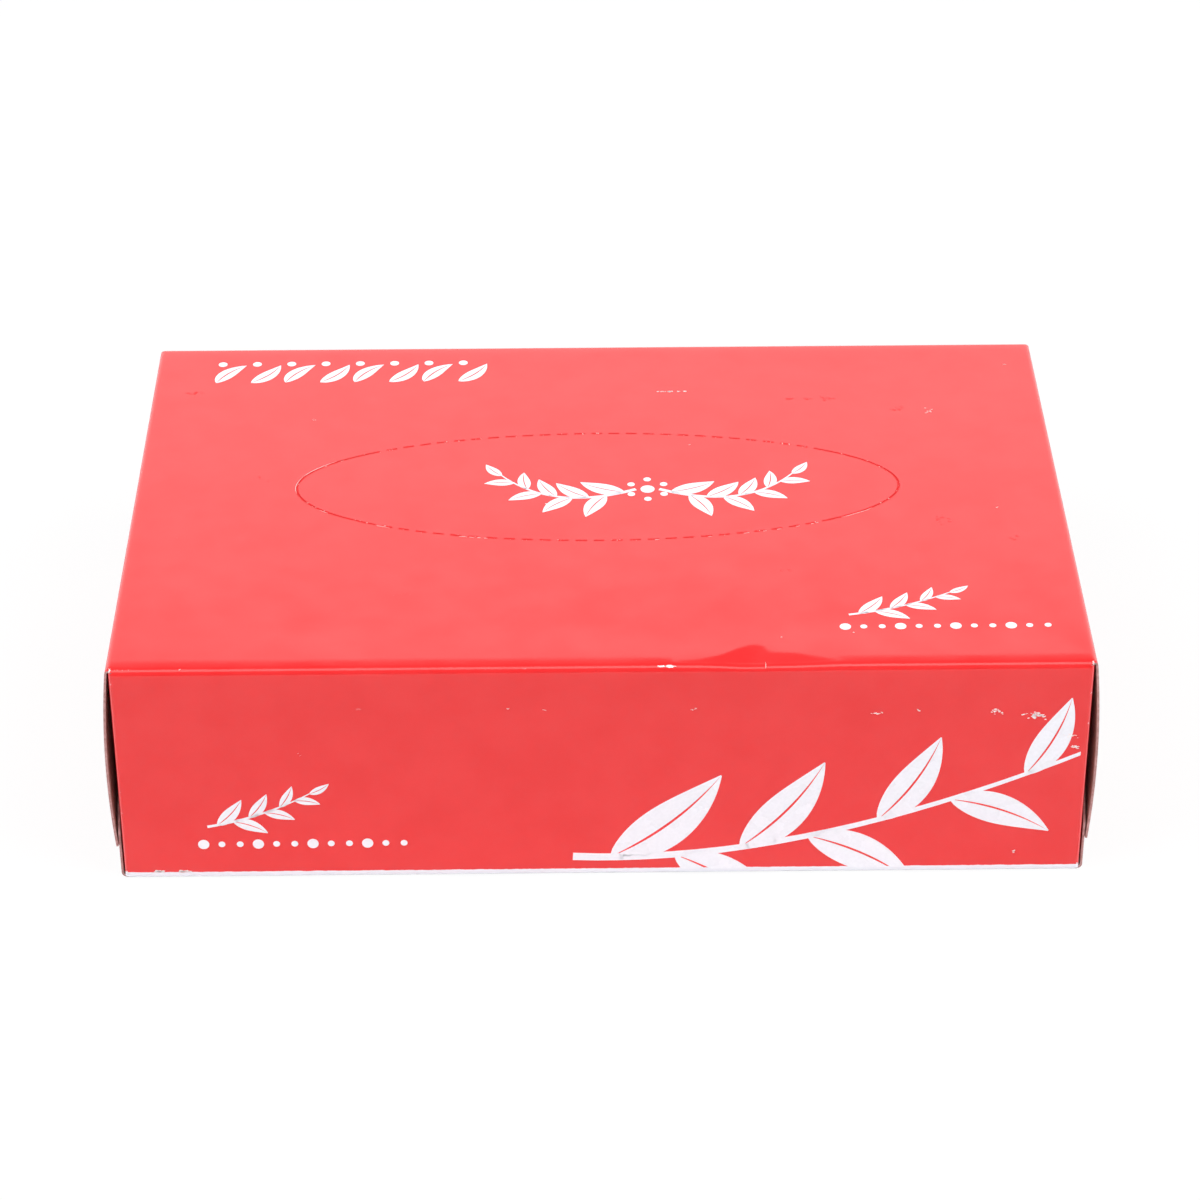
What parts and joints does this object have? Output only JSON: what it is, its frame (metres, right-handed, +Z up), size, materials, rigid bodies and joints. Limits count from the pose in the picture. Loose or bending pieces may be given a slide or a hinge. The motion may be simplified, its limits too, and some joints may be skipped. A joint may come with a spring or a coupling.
{
  "type": "tissue box",
  "caption": "Flat sealed carton of facial tissues, in glossy red paperboard, with glued bowed end flaps and a perforated oval tear-out in the top.",
  "frame": {"origin": "middle of the face that the box stands on", "axes": "+X along the box, from one glued end to the other; +Y from the front panel to the back panel; +Z up through the panel with the tear-out oval"},
  "size_m": [0.1992, 0.131, 0.0513],
  "materials": {
    "printed_board": "red printed paperboard with a glossy varnish",
    "white_print": "white of the coated board left bare in the red print, under the same varnish",
    "raw_board": "raw cut edges and unprinted inner side of recycled paperboard, matt"
  },
  "bodies": {
    "root": {"tissue_box": "printed_board"}
  },
  "joints": []
}
